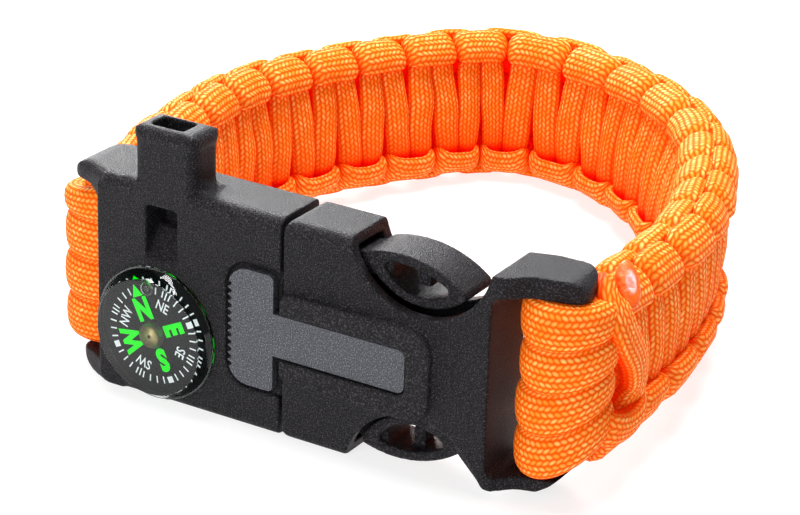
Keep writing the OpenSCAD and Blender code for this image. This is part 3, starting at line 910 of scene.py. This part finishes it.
def shape_whistle(places):
    """Rounds the whistle half's edges, widens the tube's mouth and lengthens the upper ear."""
    for edge in WHISTLE_ROUNDS:
        round_edge(places, *edge)
    x, y, z = places.T
    tube = (z > BUCKLE_HALF_H + 1) * np.clip((z - LIP_Z) / LIP_RAMP, 0, 1) * (LIP - 1)
    places[:, 0] += (x - (TUBE[0] + TUBE[1]) / 2) * tube
    places[:, 1] += (y - TUBE[2] / 2) * tube
    ear = (x < EAR_X) * np.clip((z - EAR_Z) / EAR_RAMP, 0, 1) * (EAR_STRETCH - 1)
    places[:, 0] += (x - EAR_X) * ear


def shape_clasp(places):
    """Brings the lower edge of the clasp's rail to its line."""
    lowest = np.interp(places[:, 0], TRIM_X, TRIM_Z, left=-BUCKLE_HALF_H)
    places[:, 2] = np.maximum(places[:, 2], lowest)


def softened(node, name, blocks, shape):
    """A copy of a moulded node with blocks added and its sharp edges rounded off.

    shape is the function that moves its points, in millimetres, before that rounding.
    """
    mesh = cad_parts[node].data.copy()
    welded = bmesh.new()
    welded.from_mesh(mesh)
    bmesh.ops.remove_doubles(welded, verts=welded.verts, dist=WELD)
    for outline, y0, y1 in blocks:
        add_prism(welded, outline, y0, y1)
    bmesh.ops.recalc_face_normals(welded, faces=welded.faces)
    welded.to_mesh(mesh)
    welded.free()
    made = mesh_object(name + "_raw", mesh)
    remesh = made.modifiers.new("remesh", "REMESH")
    remesh.mode = "VOXEL"
    remesh.voxel_size = EDGE_VOXEL * MM
    made = baked(made, name + "_rounded")
    places = (vertex_places(made.data) - np.array(ORIGIN)) / MM
    shape(places)
    made.data.vertices.foreach_set("co", placed(places).ravel())
    relax = made.modifiers.new("relax", "SMOOTH")
    relax.factor, relax.iterations = 0.5, EDGE_PASSES
    thin = made.modifiers.new("thin", "DECIMATE")
    thin.ratio = KEPT_FACES
    piece = baked(made, name, PLASTIC)
    smooth(piece.data)
    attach(piece, "root")
    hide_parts(node)


def refinished(node, material):
    """A CAD node that stays, with a better material."""
    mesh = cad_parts[node].data
    mesh.materials.clear()
    mesh.materials.append(material)


def turned(name, outline, material, sides=96, at=(0, 0)):
    """A closed solid of revolution from radius and depth in y, off the compass's axis by at."""
    angles = 2 * np.pi * np.arange(sides) / sides
    points = [(CARD_X + at[0] + r * math.sin(a), y, CARD_Z + at[1] + r * math.cos(a))
              for r, y in outline for a in angles]
    faces = [list(range(sides)), list(range(len(points) - sides, len(points)))]
    for i in range(len(outline) - 1):
        for k in range(sides):
            a, b = i * sides + k, i * sides + (k + 1) % sides
            faces.append((a, b, b + sides, a + sides))
    made = bmesh.new()
    for p in placed(points):
        made.verts.new(p)
    made.verts.ensure_lookup_table()
    for face in faces:
        made.faces.new([made.verts[i] for i in face])
    bmesh.ops.recalc_face_normals(made, faces=made.faces)
    mesh = bpy.data.meshes.new(name)
    made.to_mesh(mesh)
    made.free()
    mesh.set_sharp_from_angle(angle=math.radians(35))
    return mesh_object(name, mesh, material)


def dial_tree():
    """Geometry nodes that set a mark round the card's axis at even angles."""
    tree, sockets = node_group("dial_marks", (
        ("Mark", "Geometry"), ("Centre", "Vector"), ("Count", "Int"), ("Start", "Float"),
        ("Step", "Float"), ("Leave out every", "Float"), ("First number", "Float"),
        ("Material", "Material")), "Marks")
    g = Graph(tree)
    given = g.add("NodeGroupInput")
    index = g.add("GeometryNodeInputIndex")
    places = g.add("GeometryNodeMeshLine", None,
                   {"Count": given.output("Count"), "Offset": (0, 0, 0)})
    number = index + given.output("First number")
    kept = number.math("MODULO", given.output("Leave out every")).math("GREATER_THAN", 0.5)
    turn = g.add("ShaderNodeCombineXYZ", None,
                 {1: given.output("Start") + index * given.output("Step")})
    marks = g.add("GeometryNodeInstanceOnPoints", None,
                  {"Points": places, "Instance": given.output("Mark"), "Selection": kept,
                   "Rotation": turn})
    moved = g.add("GeometryNodeTransform", None,
                  {"Geometry": g.add("GeometryNodeRealizeInstances", None, {0: marks}),
                   "Translation": given.output("Centre")})
    finished = g.add("GeometryNodeSetMaterial", None,
                     {"Geometry": moved, "Material": given.output("Material")})
    g.add("NodeGroupOutput", None, {0: finished})
    return tree, sockets


def dial_marks(name, width, inner, count, start, step, skip=None):
    """Marks printed round the card, as a piece that turns with it.

    They reach from the radius inner to TICK_REACH, and start and step are bearings. With skip,
    the first mark and each skipth after it are left out.
    """
    tree, sockets = dial_tree()
    mark = bpy.data.meshes.new(name + "_mark")
    block = bmesh.new()
    bmesh.ops.create_cube(block, size=1)
    for v in block.verts:
        v.co = Vector((v.co.x * width, -v.co.y * PRINT_T - PRINT_T / 2 - PRINT_GAP,
                       v.co.z * (TICK_REACH - inner) + (TICK_REACH + inner) / 2)) * MM
    bmesh.ops.recalc_face_normals(block, faces=block.faces)
    block.to_mesh(mark)
    block.free()
    made = mesh_object(name + "_raw", mark)
    nodes = made.modifiers.new("marks", "NODES")
    nodes.node_group = tree
    centre = placed([(CARD_X, CARD_Y, CARD_Z)])[0]
    for label, value in (("Centre", tuple(centre)), ("Count", count),
                         ("Start", math.radians(start - NORTH_LEAN)),
                         ("Step", math.radians(step)), ("First number", 0.0 if skip else 1.0),
                         ("Leave out every", float(skip or count + 1)),
                         ("Material", WHITE_PRINT)):
        nodes[sockets[label]] = value
    piece = baked(made, name)
    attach(piece, "card")


def on_card(flat, bearing, radius):
    """Points drawn flat in millimetres, x right and y outward, as they lie on the card."""
    a = math.radians(bearing - NORTH_LEAN)
    outward, right = (math.sin(a), math.cos(a)), (math.cos(a), -math.sin(a))
    flat = np.asarray(flat, float)
    away = radius + flat[:, 1]
    return placed(np.column_stack([CARD_X + outward[0] * away + right[0] * flat[:, 0],
                                   CARD_Y - PRINT_T / 2 - PRINT_GAP - flat[:, 2],
                                   CARD_Z + outward[1] * away + right[1] * flat[:, 0]]))


def letter(word, size, stretch, bold):
    """Flat mesh of a word, middle at the origin, in millimetres."""
    curve = bpy.data.curves.new(word, "FONT")
    curve.body, curve.size, curve.align_x, curve.align_y = word, size, "CENTER", "CENTER"
    curve.offset, curve.extrude, curve.resolution_u = bold, PRINT_T / 2, 3
    text = bpy.data.objects.new(word, curve)
    bpy.context.scene.collection.objects.link(text)
    mesh = worked_out(text)
    for v in mesh.vertices:
        v.co.x *= stretch
    return mesh


def print_words(name, words, size, stretch, bold, radius, material, pointer=False):
    """Words at their bearings round the card, tops outward, as one piece.

    pointer adds the north triangle.
    """
    joined = bmesh.new()
    for word, bearing in words:
        mesh = letter(word, size, stretch, bold)
        places = on_card([v.co for v in mesh.vertices], bearing, radius)
        for v, place in zip(mesh.vertices, places):
            v.co = place
        joined.from_mesh(mesh)
        bpy.data.meshes.remove(mesh)
    if pointer:
        corners = [(-POINTER_HALF, -POINTER_HALF), (POINTER_HALF, -POINTER_HALF),
                   (0, POINTER_HALF)]
        flat = [(x, y, h) for h in (-PRINT_T / 2, PRINT_T / 2) for x, y in corners]
        verts = [joined.verts.new(p) for p in on_card(flat, 0, POINTER_RADIUS)]
        for face in ((0, 1, 2), (3, 4, 5), (0, 1, 4, 3), (1, 2, 5, 4), (2, 0, 3, 5)):
            joined.faces.new([verts[i] for i in face])
    bmesh.ops.remove_doubles(joined, verts=joined.verts, dist=PRINT_WELD)
    bmesh.ops.recalc_face_normals(joined, faces=joined.faces)
    mesh = bpy.data.meshes.new(name)
    joined.to_mesh(mesh)
    joined.free()
    piece = mesh_object(name, mesh, material)
    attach(piece, "card")


def compass():
    """Printed card, brass hub, bubble, and a clear capsule full of oil."""
    refinished("compass_base", card_finish())
    refinished("compass_card", card_finish())
    refinished("compass_hub", brass_finish())
    print_words("main_points", (("N", 0), ("E", 90), ("S", 180), ("W", 270)), size=3.6,
                stretch=0.78, bold=0.2, radius=3.05, material=GREEN_PRINT, pointer=True)
    print_words("middle_points", (("NE", 45), ("SE", 135), ("SW", 225), ("NW", 315)), size=1.75,
                stretch=0.8, bold=0.02, radius=3.95, material=WHITE_PRINT)
    dial_marks("dial_ticks", width=0.17, inner=5.15, count=36, start=0, step=10, skip=9)
    dial_marks("diagonal_ticks", width=0.17, inner=5.0, count=4, start=45, step=90)
    dial_marks("square_marks", width=0.75, inner=5.25, count=3, start=90, step=90)
    corner = [(CAPSULE_FRONT_R - CAPSULE_CORNER * (1 - math.cos(a)),
               CAPSULE_CORNER * (1 - math.sin(a)) - CAPSULE_OUT)
              for a in np.radians(np.arange(0, 91, 15))]
    capsule = turned("filled_capsule",
                     [(0.01, CAPSULE_IN), (CAPSULE_R, CAPSULE_IN), (CAPSULE_R, -SEAT_GAP),
                      (RIM_R, -SEAT_GAP), (RIM_R, -SEAT_GAP - RIM_T),
                      (CAPSULE_R, -SEAT_GAP - RIM_T), *corner, (0.01, -CAPSULE_OUT)],
                     clear_finish("clear_capsule", 1.46))
    bubble = turned("air_bubble", [(BUBBLE_R * math.sin(a), BUBBLE_Y - BUBBLE_T * math.cos(a))
                                   for a in np.radians(np.linspace(2, 178, 12))],
                    clear_finish("air_bubble", 1.35), sides=24, at=BUBBLE_AT)
    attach(bubble, "root")
    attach(capsule, "root")
    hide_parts("compass_capsule")


def camera():
    """Camera at the photograph's angle."""
    turn, rise, roll = (math.radians(a) for a in (CAMERA_TURN, CAMERA_RISE, CAMERA_ROLL))
    back = Vector((math.sin(turn) * math.cos(rise), -math.cos(turn) * math.cos(rise),
                   math.sin(rise)))
    right = Vector((math.cos(turn), math.sin(turn), 0))
    up = back.cross(right)
    rolled_right = right * math.cos(roll) + up * math.sin(roll)
    rolled_up = up * math.cos(roll) - right * math.sin(roll)
    data = bpy.data.cameras.new("camera")
    data.lens, data.sensor_width = CAMERA_LENS, 36
    data.clip_start, data.clip_end = 0.01, 20
    made = bpy.data.objects.new("camera", data)
    bpy.context.scene.collection.objects.link(made)
    axes = Matrix((rolled_right, rolled_up, back)).transposed()
    made.matrix_world = Matrix.Translation(Vector(CAMERA_AT) * MM) @ axes.to_4x4()
    bpy.context.scene.camera = made


def softbox(name, place, size, power):
    """A large soft lamp, turned towards the bracelet."""
    data = bpy.data.lights.new(name, "AREA")
    data.shape, data.size, data.energy = "SQUARE", size, power
    made = bpy.data.objects.new(name, data)
    bpy.context.scene.collection.objects.link(made)
    made.location = place
    made.rotation_euler = (Vector(place) - Vector(LAMP_AIM)).to_track_quat("Z", "Y").to_euler()


def studio():
    """Pale floor and soft light."""
    far = FLOOR_HALF
    mesh = bpy.data.meshes.new("floor")
    mesh.from_pydata([(-far, -far, 0), (far, -far, 0), (far, far, 0), (-far, far, 0)],
                     [], [(0, 1, 2, 3)])
    mesh_object("floor", mesh, floor_finish())
    world = bpy.data.worlds.new("studio")
    world.use_nodes = True
    sky = world.node_tree.nodes["Background"].inputs
    sky["Color"].default_value = (1, 1, 1, 1)
    sky["Strength"].default_value = SKY_STRENGTH
    bpy.context.scene.world = world
    for lamp in LAMPS:
        softbox(*lamp)
    bpy.context.scene.view_settings.view_transform = "Standard"


CORD = cord_finish()
PLASTIC = plastic_finish()
GREEN_PRINT = print_finish("green_print", colour(0, 214, 6), colour(0, 236, 16), 0.55)
WHITE_PRINT = print_finish("white_print", colour(214, 222, 224), colour(240, 244, 246), 0.35)

camera()
studio()
woven_band()
wraps("left_turns", "left_wraps", **LEFT_TURNS)
wraps("right_turns", "right_wraps", **RIGHT_TURNS)
end_cords()
melted_end()
softened("whistle_half", "whistle_buckle", WHISTLE_BLOCKS, shape_whistle)
softened("clasp_half", "clasp_buckle", CLASP_BLOCKS, shape_clasp)
refinished("striker_plate", striker_finish())
compass()
